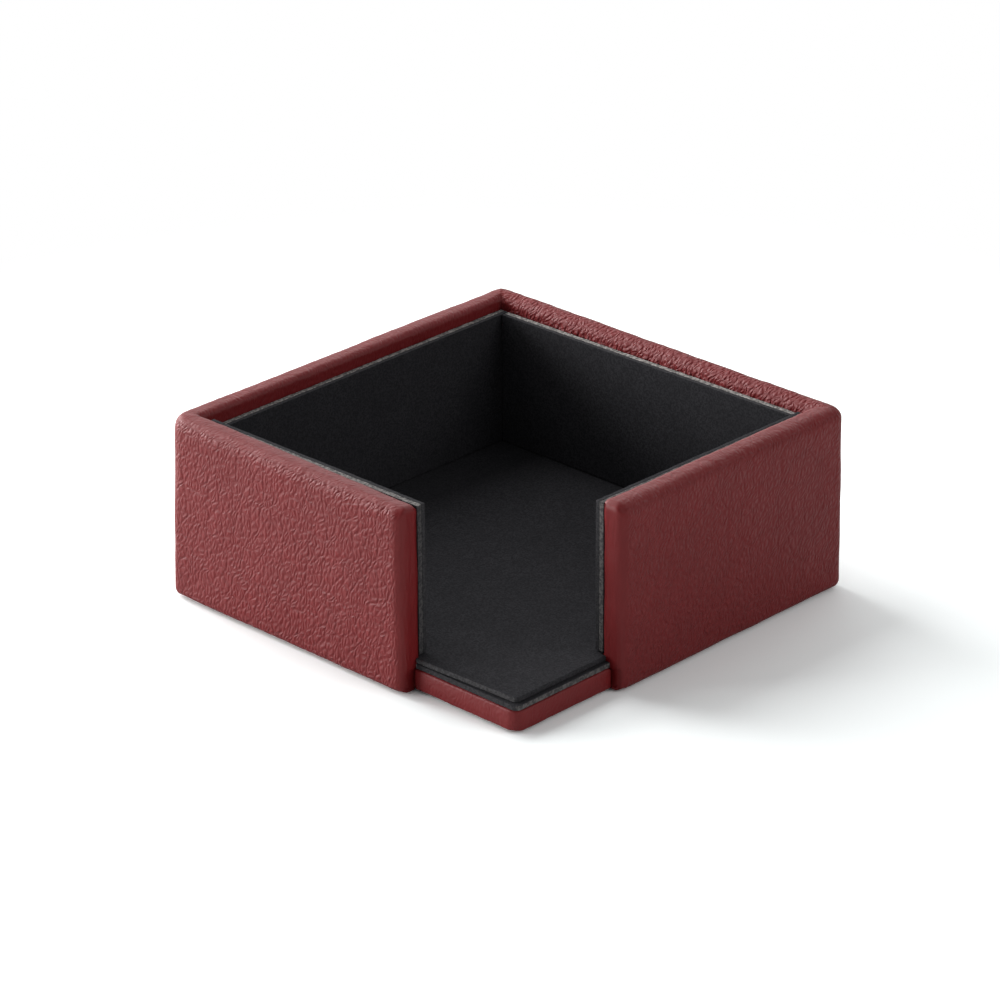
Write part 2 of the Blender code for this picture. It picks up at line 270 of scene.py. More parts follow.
def bordeaux_leather(name):
    """Dyed, satin leather: the grain runs with the sheet, and each valley is duller and darkened by painted
    shade.
    """
    material, tree, shader = new_material(name)
    sheet = node(tree, "UVMap", uv_map="sheet").outputs[0]
    millimetres = node(tree, "VectorMath", {0: sheet, "Scale": MILLIMETRES}, operation="SCALE").outputs[0]
    strength = node(tree, "Attribute", attribute_name="grain").outputs["Fac"]
    grain = node(tree, "Group", node_tree=grain_group)
    tree.links.new(millimetres, grain.inputs["Sheet"])
    tree.links.new(strength, grain.inputs["Strength"])
    gather = node(tree, "Attribute", attribute_name="gather").outputs["Fac"]
    tree.links.new(gather, grain.inputs["Gather"])
    place = node(tree, "TexCoord").outputs["Object"]
    cloud = node(tree, "TexNoise", {"Vector": place, "Scale": LEATHER_CLOUD, "Detail": 3.0}).outputs[0]
    dyed = mix(tree, ramp(tree, cloud, 0.3, 0.7, 0.0, LEATHER_MOTTLE), LEATHER_SHADE, LEATHER_MOTTLE_AND_CREASE_SHADE)
    # Painted shade: the grain's valleys are darkened towards the darker leather colour.
    valley = maths(tree, "MULTIPLY", grain.outputs["Valley"], CREASE_SHADE_SHARE)
    tree.links.new(mix(tree, valley, dyed, LEATHER_MOTTLE_AND_CREASE_SHADE), shader.inputs["Base Color"])
    dull = ramp(tree, grain.outputs["Valley"], 0.0, 1.0, *LEATHER_DULL)
    tree.links.new(dull, shader.inputs["Roughness"])
    tree.links.new(relief(tree, grain.outputs["Height"], GRAIN_DEPTH), shader.inputs["Normal"])
    shader.inputs["Specular IOR Level"].default_value = LEATHER_SPECULAR
    return material


leather_finish = bordeaux_leather("bordeaux_leather")


def cell_count(length, step):
    """Whole number of cells of about this size along a length."""
    return max(1, round(length / step))


def divide(piece, wanted, length, step):
    """Cut a band of parallel edges into even cells."""
    cuts = cell_count(length, step) - 1
    if cuts < 1:
        return
    pick_edges(piece, wanted)
    bpy.ops.mesh.subdivide(number_cuts=cuts, smoothness=0)


def read_points(piece):
    points = np.empty(len(piece.data.vertices) * 3)
    piece.data.vertices.foreach_get("co", points)
    return points.reshape(-1, 3)


def write_points(piece, points):
    piece.data.vertices.foreach_set("co", points.reshape(-1))
    piece.data.update()


def read_normals(piece):
    normals = np.empty(len(piece.data.vertices) * 3)
    piece.data.vertex_normals.foreach_get("vector", normals)
    return normals.reshape(-1, 3)


def store(piece, name, values):
    """Keep one value at each point of a piece, for its material to read."""
    attribute = piece.data.attributes.new(name, "FLOAT", "POINT")
    attribute.data.foreach_set("value", values.astype(np.float32))


def rumple(points, size, seed):
    """Smooth noise about zero at each point, for lumps of this size in metres."""
    shift = Vector((seed, seed * 0.7, seed * 1.3))
    return np.array([noise.noise(Vector(point) / size + shift) for point in points])


leather_low, leather_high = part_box("wall_leather")
HALF = leather_high.x
HEM = leather_low.z - 0.00025
RIM = leather_high.z
FREE_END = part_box("lining_card_front_left")[1].x
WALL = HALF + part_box("lining_card_back_left")[0].x - 0.0003
SLAB_SIDE = 0.0510
SLAB_ROOM = 0.0060
HEM_WIDE = HALF - SLAB_SIDE
TURN_IN = 0.0150
TURN_IN_SHOWN = 0.0050
END_TURN_IN = 0.0120
CELL = 0.00072

SLAB_NOTCH = FREE_END + 0.0002
SLAB_RIPPLE_SIZE = 0.0026
SLAB_DROP = 0.00045
SLAB_LIP = 0.0012
SLAB_STEP = 0.0006
SLAB_GRAIN = 0.16
SLAB_RIPPLE_SEED = 4.4
SLAB_RIPPLE_STRETCH = np.array((1, 1, 0.35))


def floor_plan(node_name, corner):
    """Plate that fits inside the walls and runs out through the open corner as a rounded ear."""
    low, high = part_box(node_name)
    inner_x, inner_y = -low.x, -high.y
    bpy.ops.mesh.primitive_plane_add(size=1, location=((low.x + high.x) / 2, (low.y + high.y) / 2, low.z))
    piece = bpy.context.active_object
    piece.scale = (high.x - low.x, high.y - low.y, 1)
    bpy.ops.object.transform_apply(location=True, rotation=False, scale=True)
    open_mesh(piece)
    for point, normal in (((SLAB_NOTCH, 0, 0), (1, 0, 0)), ((0, -SLAB_NOTCH, 0), (0, 1, 0)),
                          ((inner_x, 0, 0), (1, 0, 0)), ((0, inner_y, 0), (0, 1, 0))):
        bpy.ops.mesh.select_all(action="SELECT")
        slice_at(point, normal)
    pick_faces(piece, lambda middle, normal: middle.y < inner_y and middle.x < SLAB_NOTCH)
    bpy.ops.mesh.delete(type="FACE")
    pick_faces(piece, lambda middle, normal: middle.x > inner_x and middle.y > -SLAB_NOTCH)
    bpy.ops.mesh.delete(type="FACE")
    bpy.ops.mesh.select_all(action="SELECT")
    bpy.ops.mesh.dissolve_limited(angle_limit=0.01)
    bpy.ops.mesh.select_all(action="SELECT")
    bpy.ops.mesh.extrude_region_move(TRANSFORM_OT_translate={"value": (0, 0, high.z - low.z)})
    bpy.ops.mesh.select_all(action="SELECT")
    bpy.ops.mesh.normals_make_consistent(inside=False)
    near = corner / 8
    pick_edges(piece, lambda middle, span: (abs(span.z) > near and middle.x > high.x - near
                                            and middle.y < low.y + near))
    bpy.ops.mesh.bevel(offset=corner, segments=8, affect="EDGES")
    return piece


def in_ear(point, slack):
    """Whether a point is in the open corner, where the floor is in sight."""
    return point.x > SLAB_NOTCH - slack and point.y < slack - SLAB_NOTCH


def ear_edges(piece, high, step):
    """Cut the two long sides of the ear into cells, so that they can be worked."""
    reach = high.x - SLAB_NOTCH
    outside = SLAB_SIDE * 0.95
    divide(piece, lambda middle, span: (abs(span.x) > reach * 0.7 and middle.y < -outside
                                        and middle.x > SLAB_NOTCH), reach, step)
    divide(piece, lambda middle, span: (abs(span.y) > reach * 0.7 and middle.x > outside
                                        and middle.y < -SLAB_NOTCH), reach, step)


slab_leather = floor_plan("base_leather", SLAB_CORNER)
slab_low, slab_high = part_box("base_leather")
pick_faces(slab_leather, lambda middle, normal: normal.z < -0.9)
bpy.ops.transform.translate(value=(0, 0, -SLAB_DROP))
pick_faces(slab_leather, lambda middle, normal: abs(normal.z) > 0.9)
bpy.ops.mesh.select_mode(type="FACE")
bpy.ops.mesh.region_to_loop()
bpy.ops.mesh.bevel(offset=SLAB_EDGE, segments=4, affect="EDGES")
ear_edges(slab_leather, slab_high, SLAB_STEP)
pick_faces(slab_leather, lambda middle, normal: normal.z < -0.99)
bpy.ops.mesh.inset(thickness=SLAB_LIP)
bpy.ops.transform.translate(value=(0, 0, SLAB_DROP))
close_mesh()
points = read_points(slab_leather)
side = np.minimum(slab_high.x - points[:, 0], points[:, 1] - slab_low.y) < SLAB_EDGE * 2
ripple = SLAB_RIPPLE * rumple(points * SLAB_RIPPLE_STRETCH, SLAB_RIPPLE_SIZE, SLAB_RIPPLE_SEED) * side
points += read_normals(slab_leather) * ripple[:, None]
write_points(slab_leather, points)
layer = slab_leather.data.uv_layers.new(name="sheet")
for face in slab_leather.data.polygons:
    for loop in face.loop_indices:
        place = points[slab_leather.data.loops[loop].vertex_index]
        if abs(face.normal.z) > 0.8:
            layer.data[loop].uv = place[0], place[1]
        else:
            layer.data[loop].uv = place[0] + place[1], place[2]
store(slab_leather, "grain", np.full(len(points), SLAB_GRAIN))
bpy.ops.object.select_all(action="DESELECT")
slab_leather.select_set(True)
bpy.ops.object.shade_smooth_by_angle(angle=0.9)
slab_leather.data.materials.append(leather_finish)
finish_piece(slab_leather, "wrapped_slab_leather", "bordeaux_leather", "base_leather")


# Floor layers: a lining card with black facing on it, both cut to a rounded ear in the open
# corner. Their cut edges stay raw, so pale fibres stand out between the black faces.
FACING_SHADE = (0.031, 0.0305, 0.034, 1)
FACING_NAP = (0.017, 0.0168, 0.019, 1)
CARD_EDGE = (0.300, 0.282, 0.270, 1)
CARD_EDGE_DARK = (0.110, 0.106, 0.102, 1)
FACING_EDGE = (0.085, 0.083, 0.085, 1)
FACING_EDGE_DARK = (0.045, 0.044, 0.045, 1)
# Shares of pale edge colour on edges that look up, front left and front right: the raw edge's own paleness,
# with painted light and shade by which way each edge faces.
RAW_CUTS_AND_PAINTED_LIGHT = {"lining_card": (1.0, 0.28, 0.15), "lining_facing": (0.20, 0.25, 0.25),
            "floor_card": (0.10, 0.05, 0.28), "floor_facing": (0.5, 0.55, 0.1)}
GLUED_GAP = 0.00004
EAR_SLACK = 0.002
CARD_OVERHANG = 0.0003
FACING_SLANT = 0.0012
FLOOR_CARD_CORNER = 0.0014
FLOOR_FACING_CORNER = 0.0010
CUT_EDGE = 0.00012
CUT_ROUGH = 0.00007
CUT_STEP = 0.0004
CUT_SEEDS = (1.9, 8.1)
NAP_FIBRE = 2600.0
NAP_TOOTH = 0.00004
NAP_CLOUD = 160.0
CUT_FIBRE = 1500.0
CUT_COARSE = 0.6


def fibre_sheet(name, face_shade, nap_shade, edge_shade, edge_dark):
    """Dyed fibre sheet with a fine matt nap. The raw cut edge is paler and fibrous, laid on more or less by
    which way it faces, as painted light and shade.
    """
    material, tree, shader = new_material(name)
    place = node(tree, "TexCoord").outputs["Object"]
    nap = node(tree, "TexNoise", {"Vector": place, "Scale": NAP_FIBRE, "Detail": 2.0}).outputs[0]
    cloud = node(tree, "TexNoise", {"Vector": place, "Scale": NAP_CLOUD, "Detail": 3.0}).outputs[0]
    soft = mix(tree, ramp(tree, nap, 0.35, 0.65), nap_shade, face_shade)
    soft = mix(tree, ramp(tree, cloud, 0.3, 0.7, 0.0, 0.3), soft, nap_shade)
    fibres = node(tree, "TexNoise", {"Vector": place, "Scale": CUT_FIBRE, "Detail": 3.0}).outputs[0]
    edge = mix(tree, ramp(tree, fibres, 0.40, 0.62), edge_dark, edge_shade)
    # Painted light and shade: the pale edge colour is laid on by a share set by which way the edge faces.
    raw = node(tree, "Attribute", attribute_name="raw_edge_and_painted_light").outputs["Fac"]
    tree.links.new(mix(tree, raw, soft, edge), shader.inputs["Base Color"])
    tree.links.new(relief(tree, nap, NAP_TOOTH), shader.inputs["Normal"])
    shader.inputs["Roughness"].default_value = 0.92
    shader.inputs["Specular IOR Level"].default_value = 0.08
    return material


facing_finish = fibre_sheet("black_facing", FACING_SHADE, FACING_NAP, FACING_EDGE, FACING_EDGE_DARK)
card_finish = fibre_sheet("lining_card", FACING_SHADE, FACING_NAP, CARD_EDGE, CARD_EDGE_DARK)


def cut_edges(piece, across, raw_lit_top, raw_lit_left, raw_lit_right):
    """Mark the cut edges of a sheet and roughen them. The sheet is thin along one axis.

    The three shares set how pale the edges that look up, front left and front right are: partly their own
    raw paleness, partly painted light and shade by which way they face.
    """
    mesh = piece.data
    raw = np.zeros(len(mesh.vertices), np.float32)
    points = read_points(piece)
    for face in mesh.polygons:
        if abs(face.normal[across]) < 0.5:
            ends = list(face.vertices)
            # Painted light: edges facing up take one share and the sides another, by how light falls on
            # them.
            raw_lit_side = raw_lit_right if abs(face.normal.x) > abs(face.normal.y) else raw_lit_left
            raw[ends] = np.maximum(raw[ends], raw_lit_top if face.normal.z > 0.5 else raw_lit_side)
    rough = rumple(points, CUT_STEP * 2.2, CUT_SEEDS[0])
    rough = rough + CUT_COARSE * rumple(points, CUT_STEP * 6, CUT_SEEDS[1])
    write_points(piece, points + read_normals(piece) * (CUT_ROUGH * (raw > 0) * rough)[:, None])
    store(piece, "raw_edge_and_painted_light", raw)


for layer_name, under, corner, overhang, slant, finish, slot in (
        ("floor_card", "base_leather", FLOOR_CARD_CORNER, CARD_OVERHANG, 0, card_finish, "lining_card"),
        ("floor_facing", "floor_card", FLOOR_FACING_CORNER, 0, FACING_SLANT, facing_finish, "black_facing")):
    sheet = floor_plan(layer_name, corner)
    low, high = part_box(layer_name)
    pick_faces(sheet, lambda middle, normal: abs(normal.z) > 0.9)
    bpy.ops.mesh.region_to_loop()
    bpy.ops.mesh.bevel(offset=CUT_EDGE, segments=1, affect="EDGES")
    ear_edges(sheet, high, CUT_STEP)
    thick = high.z - low.z
    divide(sheet, lambda middle, span: abs(span.z) > thick * 0.5 and in_ear(middle, EAR_SLACK),
           thick, CUT_STEP / 2)
    close_mesh()
    points = read_points(sheet)
    points[points[:, 2] < low.z + CUT_EDGE * 1.3, 2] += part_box(under)[1].z + GLUED_GAP - low.z
    left = np.clip((low.y + corner - points[:, 1]) / corner, 0, 1) * (points[:, 0] > SLAB_NOTCH - CELL)
    right = np.clip((points[:, 0] - high.x + corner) / corner, 0, 1)
    askew = np.clip((high.x - points[:, 0]) / (high.x - SLAB_NOTCH), 0, 1)
    points[:, 1] -= left * (overhang + slant * askew)
    points[:, 0] += right * overhang
    write_points(sheet, points)
    cut_edges(sheet, 2, *RAW_CUTS_AND_PAINTED_LIGHT[layer_name])
    sheet.data.materials.append(finish)
    finish_piece(sheet, "cut_" + layer_name, slot, layer_name)


# Wall leather: one long band of the same leather, glued to the four boards, rounded over the rim,
# folded round both free ends and turned in. It is stretched smooth at the folds and puckers
# across the rim, where it is gathered on its way down behind the lining.
CORNER_ROUND_TOP = (0.0062, 0.0034, 0.0034)
CORNER_ROUND_LOW = (0.0026, 0.0022, 0.0022)
RIM_ROUND_OUT = (0.0030, 0.0017, 0.0024, 0.0030)
RIM_ROUND_IN = (0.0006, 0.0015, 0.0036, 0.0005)
RIM_CHANGE = 0.008
HEM_ROUND = 0.0020
END_ROUND_OUT = 0.0022
END_ROUND_IN = 0.00015
END_ROUND_TOP = 0.0016
END_ROUND_LOW = 0.0008
RIM_SHARE = 0.35
RIM_REACH = 0.0055
SWELL = 0.00016
SWELL_SIZE = 0.011
LUMP = 0.00007
LUMP_SIZE = 0.0024
LUMP_STRETCH = np.array((1.0, 0.62, 1.0))
PUCKER = 0.00010
PUCKER_SIZE = 0.0019
PUCKER_STRETCH = np.array((1.0, 0.33, 1.0))
PLEAT = 0.00016
PLEAT_SIZE = 0.0024
PLEAT_SHARP = 0.16
PLEAT_STRETCH = np.array((1.0, 0.22, 1.0))
PLEAT_START = 0.0014
PLEAT_REACH = 0.0014
PLEAT_BY_WALL = (0.10, 0.10, 0.60, 0.10)
GRAIN_BY_WALL = (0.62, 0.40, 0.80, 0.62)
GRAIN_ON_RIM = (0.30, 0.55, 0.70, 0.40)
END_GRAIN = 0.12
CREST_SINK = 0.0006
BACK_SINK = 0.0005
CREST_ROLL = 0.00045
CREST_ROLL_REACH = 0.0009
CREST_REACH = 0.0040
SWELL_SEED = 3.1
LUMP_SEED = 9.7
PUCKER_SEED = 5.3
PLEAT_SEED = 2.2
CORNER_EASE = 1.3
SINK_EASE = 1.5
FRONT_LEFT, BACK_LEFT, BACK_RIGHT, FRONT_RIGHT = range(4)


def leather_cage():
    """Sharp-edged band of square cells: four walls, a rim, a hem, and two free ends."""
    middle = (leather_low + leather_high) / 2
    bpy.ops.mesh.primitive_cube_add(size=1, location=middle, scale=leather_high - leather_low)
    piece = bpy.context.active_object
    bpy.ops.object.transform_apply(location=True, rotation=False, scale=True)
    open_mesh(piece)
    pick_faces(piece, lambda middle, normal: abs(normal.z) > 0.9)
    bpy.ops.mesh.delete(type="FACE")

    pick_edges(piece, lambda middle, span: middle.z > RIM - CELL and abs(span.z) < CELL)
    bpy.ops.mesh.extrude_edges_move()
    inward = (HALF - WALL) / HALF
    bpy.ops.transform.resize(value=(inward, inward, 1), center_override=(0, 0, RIM))
    bpy.ops.mesh.extrude_edges_move(TRANSFORM_OT_translate={"value": (0, 0, -TURN_IN_SHOWN)})

    pick_edges(piece, lambda middle, span: middle.z < HEM + CELL and abs(span.z) < CELL)
    bpy.ops.mesh.extrude_edges_move()
    inward = SLAB_SIDE / HALF
    bpy.ops.transform.resize(value=(inward, inward, 1), center_override=(0, 0, HEM))

    levels = (SLAB_ROOM - CELL / 4, SLAB_ROOM + CELL / 4, RIM - TURN_IN_SHOWN)
    for level in levels:
        pick_faces(piece, lambda middle, normal: (abs(normal.z) < 0.5
                                                  and max(abs(middle.x), abs(middle.y)) > HALF - CELL))
        slice_at((0, 0, level), (0, 0, 1))
    for place in (FREE_END, FREE_END - END_TURN_IN):
        pick_faces(piece, lambda middle, normal: middle.y < -abs(middle.x) + CELL or middle.y < -SLAB_SIDE)
        slice_at((place, 0, 0), (1, 0, 0))
        pick_faces(piece, lambda middle, normal: middle.x > abs(middle.y) - CELL or middle.x > SLAB_SIDE)
        slice_at((0, -place, 0), (0, 1, 0))
    pick_faces(piece, lambda middle, normal: middle.x > FREE_END and middle.y < -FREE_END)
    bpy.ops.mesh.delete(type="FACE")

    # Leather turned in at the free ends, down to the slab and round its edge
    for outward in (Vector((0, -1, 0)), Vector((1, 0, 0))):

        def at_end(middle, span):
            inner = abs(middle.dot(outward) - HALF + WALL) < CELL / 4
            return inner and abs(middle.z - RIM + TURN_IN_SHOWN) < CELL / 4 and in_end(middle, outward)

        pick_edges(piece, at_end)
        down = RIM - TURN_IN_SHOWN - SLAB_ROOM - CELL / 4
        bpy.ops.mesh.extrude_edges_move(TRANSFORM_OT_translate={"value": (0, 0, -down)})
        ledge = outward * (WALL - HEM_WIDE) - Vector((0, 0, CELL / 2))
        bpy.ops.mesh.extrude_edges_move(TRANSFORM_OT_translate={"value": ledge})
        bpy.ops.mesh.extrude_edges_move(TRANSFORM_OT_translate={"value": (0, 0, HEM - SLAB_ROOM + CELL / 4)})
    bpy.ops.mesh.select_all(action="SELECT")
    bpy.ops.mesh.remove_doubles(threshold=CELL / 50)
    flat = CELL / 4
    pick_edges(piece, lambda middle, span: (abs(middle.x - FREE_END) < flat and middle.y < 0
                                            and abs(span.z) > flat))
    bpy.ops.mesh.bridge_edge_loops()
    pick_edges(piece, lambda middle, span: (abs(middle.y + FREE_END) < flat and middle.x > 0
                                            and abs(span.z) > flat))
    bpy.ops.mesh.bridge_edge_loops()

    # Even cells: across the rim, along each wall, then up the walls
    long_side = HALF - END_TURN_IN
    divide(piece, lambda middle, span: abs(span.z) < flat and HEM_WIDE * 0.9 < span.length < WALL * 1.5,
           WALL, CELL)
    divide(piece, lambda middle, span: abs(span.x) > long_side * 2, HALF * 2, CELL)
    divide(piece, lambda middle, span: abs(span.y) > long_side * 2, HALF * 2, CELL)
    front = HALF + FREE_END - END_TURN_IN
    divide(piece, lambda middle, span: abs(span.x) > front * 0.8, front, CELL)
    divide(piece, lambda middle, span: abs(span.y) > front * 0.8, front, CELL)
    divide(piece, lambda middle, span: abs(span.x) > END_TURN_IN * 0.9, END_TURN_IN, CELL)
    divide(piece, lambda middle, span: abs(span.y) > END_TURN_IN * 0.9, END_TURN_IN, CELL)
    divide(piece, lambda middle, span: abs(span.z) > RIM / 2, RIM - TURN_IN_SHOWN - SLAB_ROOM, CELL)
    divide(piece, lambda middle, span: abs(span.z) > TURN_IN_SHOWN * 0.9 and middle.z < RIM / 2,
           SLAB_ROOM - HEM, CELL)
    divide(piece, lambda middle, span: abs(span.z) > TURN_IN_SHOWN * 0.9 and middle.z > RIM / 2,
           TURN_IN_SHOWN, CELL)

    # The rest of the turn-in, which the lining hides
    def turn_in_edge(middle, span):
        low = abs(middle.z - RIM + TURN_IN_SHOWN) < flat and abs(span.z) < flat
        inner = abs(max(abs(middle.x), abs(middle.y)) - HALF + WALL) < flat
        ends = in_end(middle, Vector((0, -1, 0))) or in_end(middle, Vector((1, 0, 0)))
        return low and inner and not ends

    pick_edges(piece, turn_in_edge)
    bpy.ops.mesh.extrude_edges_move(TRANSFORM_OT_translate={"value": (0, 0, TURN_IN_SHOWN - TURN_IN)})
    close_mesh()
    return piece


def in_end(point, outward):
    """Whether a point is in the last stretch of the front wall that faces this way."""
    if outward.x:
        return point.x > SLAB_SIDE - WALL and -FREE_END - CELL < point.y < END_TURN_IN - FREE_END
    return point.y < WALL - SLAB_SIDE and FREE_END - END_TURN_IN < point.x < FREE_END + CELL


def wall_places(points):
    """For each point of the cage: depth into its wall, distance round the box, and which wall."""
    x, y = points[:, 0], points[:, 1]
    depth = HALF - np.maximum(abs(x), abs(y))
    across = np.where(y < 0, FRONT_LEFT, BACK_RIGHT)
    wall = np.where(abs(y) >= abs(x), across, np.where(x < 0, BACK_LEFT, FRONT_RIGHT))
    rounds = [x, -2 * HALF - y, -4 * HALF - x, -6 * HALF + y]
    return depth, np.choose(wall, rounds), wall


def to_free_end(points, wall):
    """Distance of each point from the free end of its wall. A back wall has no such end."""
    front_left = np.where(wall == FRONT_LEFT, FREE_END - points[:, 0], HALF)
    return np.where(wall == FRONT_RIGHT, points[:, 1] + FREE_END, front_left)


def lay_out_sheet(piece):
    """Store where each corner of each face lies on the flat sheet of leather, in metres."""
    mesh = piece.data
    points = read_points(piece)
    layer = mesh.uv_layers.new(name="sheet")
    places = np.empty((len(mesh.loops), 2))
    for face in mesh.polygons:
        corners = points[list(face.vertices)]
        middle = corners.mean(0)[None, :]
        wall = wall_places(middle)[2][0]
        x, y, z = corners[:, 0], corners[:, 1], corners[:, 2]
        depth = HALF - np.choose(wall, [-y, -x, y, x])
        along = np.choose(wall, [x, -2 * HALF - y, -4 * HALF - x, -6 * HALF + y])
        normal = face.normal
        if normal.z > 0.5:
            across = RIM + depth
        elif normal.z < -0.9:
            across = HEM - depth
        elif wall == FRONT_LEFT and normal.x > 0.5:
            along, across = FREE_END + depth, z
        elif wall == FRONT_RIGHT and normal.y < -0.5:
            along, across = along - depth, z
        elif depth.mean() > WALL / 2:
            across = RIM + WALL + RIM - z
        else:
            across = z
        places[face.loop_start:face.loop_start + face.loop_total, 0] = along
        places[face.loop_start:face.loop_start + face.loop_total, 1] = across
    layer.data.foreach_set("uv", places.reshape(-1))


def press(first, second, radius):
    """Round the edge between two faces, given the distances of each point in from them."""
    near = np.minimum(first, second)
    far = np.maximum(first, second)
    bend = np.maximum(radius - near, CELL / 1000)
    angle = math.pi / 4 * (1 - np.clip((far - near) / bend, 0, 1))
    rounded = far < radius
    near_to = np.where(rounded, near + bend * (1 - np.cos(angle)), near)
    far_to = np.where(rounded, near + bend * (1 - np.sin(angle)), far)
    swapped = first > second
    return np.where(swapped, far_to, near_to), np.where(swapped, near_to, far_to)


def round_over(piece):
    """Press the sharp edges of the cage round, and give back where its points were before."""
    points = read_points(piece)
    height = RIM - HEM
    depth, along, wall = wall_places(points)
    start = depth.copy()
    below = RIM - points[:, 2]
    far_end = to_free_end(points, wall)
    from_corner = HALF - np.minimum(abs(points[:, 0]), abs(points[:, 1]))
    settled = np.clip(from_corner / RIM_CHANGE, 0, 1)
    outer_round = sum(RIM_ROUND_OUT) / 4
    inner_round = sum(RIM_ROUND_IN) / 4
    outer_round += (np.choose(wall, RIM_ROUND_OUT) - outer_round) * settled
    inner_round += (np.choose(wall, RIM_ROUND_IN) - inner_round) * settled
    depth, below = press(depth, below, outer_round)
    back, below = press(WALL - depth, below, inner_round)
    depth, above = press(WALL - back, height - below, HEM_ROUND)
    below = height - above
    depth, end = press(depth, far_end, END_ROUND_OUT)
    back, end = press(WALL - depth, end, END_ROUND_IN)
    depth = WALL - back
    below, end = press(below, end, END_ROUND_TOP)
    above, end = press(height - below, end, END_ROUND_LOW)
    below = height - above

    apart = HALF - np.minimum(abs(points[:, 0]), abs(points[:, 1]))
    corner = np.where(points[:, 1] > 0, np.where(points[:, 0] > 0, 1, 2), 0)
    level = np.clip((points[:, 2] - HEM) / height, 0, 1) ** CORNER_EASE
    radius = np.choose(corner, CORNER_ROUND_LOW) * (1 - level) + np.choose(corner, CORNER_ROUND_TOP) * level
    bend = np.maximum(radius - start, 0)
    turned = apart < radius
    angle = math.pi / 4 * (1 - np.clip((apart - start) / np.maximum(bend, CELL / 1000), 0, 1))
    spoke = bend - (depth - start)
    fade = np.clip(1 - (apart - start) / radius, 0, 1)
    side = np.where(turned, radius - spoke * np.cos(angle), depth)
    reach = np.where(turned, radius - spoke * np.sin(angle), apart + (depth - start) * fade)

    major = HALF - side
    x, y = points[:, 0], points[:, 1]
    minor = (HALF - reach) * np.sign(np.choose(wall, [x, y, x, y]))
    minor = np.where((wall == FRONT_LEFT) & (far_end < HALF / 2), FREE_END - end, minor)
    minor = np.where((wall == FRONT_RIGHT) & (far_end < HALF / 2), end - FREE_END, minor)
    placed = np.empty_like(points)
    placed[:, 0] = np.choose(wall, [minor, -major, minor, major])
    placed[:, 1] = np.choose(wall, [-major, minor, major, minor])
    placed[:, 2] = RIM - below
    write_points(piece, placed)
    return start, along, wall, points


def work_leather(piece, depth, along, wall, flat_points):
    """Swell, pebble and pucker the leather, and store how strong its grain is everywhere."""
    points = read_points(piece)
    height = flat_points[:, 2]
    turned_in = np.where(height > RIM - CELL / 4, RIM + depth, RIM + WALL + RIM - height)
    across = np.where(depth < CELL / 4, height, turned_in)
    sheet = np.stack([along, across, np.zeros(len(along))], 1)
    rim = np.clip(1 - abs(across - RIM - WALL * RIM_SHARE) / RIM_REACH, 0, 1)
    rim = rim * rim * (3 - 2 * rim)
    move = SWELL * rumple(points, SWELL_SIZE, SWELL_SEED)
    move += LUMP * rumple(sheet * LUMP_STRETCH, LUMP_SIZE, LUMP_SEED)
    move += rim * PUCKER * rumple(sheet * PUCKER_STRETCH, PUCKER_SIZE, PUCKER_SEED)
    past = across - RIM - WALL
    gathered = np.clip((past - PLEAT_START) / PLEAT_REACH, 0, 1) * np.choose(wall, PLEAT_BY_WALL)
    creases = np.exp(-(rumple(sheet * PLEAT_STRETCH, PLEAT_SIZE, PLEAT_SEED) / PLEAT_SHARP) ** 2)
    move -= PLEAT * gathered * creases
    points += read_normals(piece) * move[:, None]

    # The front-left rim sinks on its inner side, both front rims roll inward, and the back-left rim sinks
    # whole
    drawn = np.clip((flat_points[:, 0] + HALF) / (FREE_END + HALF), 0, 1) ** SINK_EASE
    crest = np.clip(1 - (RIM - height) / CREST_REACH, 0, 1)
    inner = np.clip((depth - WALL * 0.3) / (WALL * 0.6), 0, 1)
    roll = inner * np.clip(1 - (RIM - height) / CREST_ROLL_REACH, 0, 1)
    from_corner = np.clip((HALF - abs(flat_points[:, 1])) / RIM_CHANGE, 0, 1)
    points[:, 2] -= np.where(wall == FRONT_LEFT, CREST_SINK * drawn * (inner * crest), 0)
    points[:, 2] -= np.where(wall == BACK_LEFT, BACK_SINK * from_corner * crest, 0)
    points[:, 1] += np.where(wall == FRONT_LEFT, CREST_ROLL * (1 - drawn) * roll, 0)
    points[:, 0] -= np.where(wall == FRONT_RIGHT, CREST_ROLL * roll, 0)
    write_points(piece, points)

    from_end = to_free_end(flat_points, wall)
    on_rim = np.where(across > RIM - CELL / 4, np.choose(wall, GRAIN_ON_RIM), 1)
    strength = np.choose(wall, GRAIN_BY_WALL) * on_rim
    strength *= END_GRAIN + (1 - END_GRAIN) * np.clip((from_end - CELL) / END_ROUND_OUT, 0, 1)
    store(piece, "grain", strength)
    store(piece, "gather", gathered)


wall_leather = leather_cage()
lay_out_sheet(wall_leather)
work_leather(wall_leather, *round_over(wall_leather))
apply_modifier(wall_leather, "SOLIDIFY", thickness=LEATHER_THICK, offset=-1)
bpy.ops.object.shade_smooth()
wall_leather.data.materials.append(leather_finish)
finish_piece(wall_leather, "wrapped_wall_leather", "bordeaux_leather", "wall_leather")


# Lining: on each wall a card with black facing, glued in over the turned-in leather. The back
# sheets stop a few millimetres below the rim, and the front ones end close under it.
LINING_TOPS = {"back_left": (0.0412, 0.0418), "back_right": (0.0418, 0.0426),
               "front_left": (0.0444, 0.0447), "front_right": (0.0449, 0.0445)}
# Painted light and shade: the lining cards' top edges are made paler or darker wall by wall.
RAW_TOPS_AND_PAINTED_LIGHT = {"back_left": 0.85, "back_right": 1.0, "front_left": 0.60, "front_right": 0.38}
LINING_GLUE = 0.00026


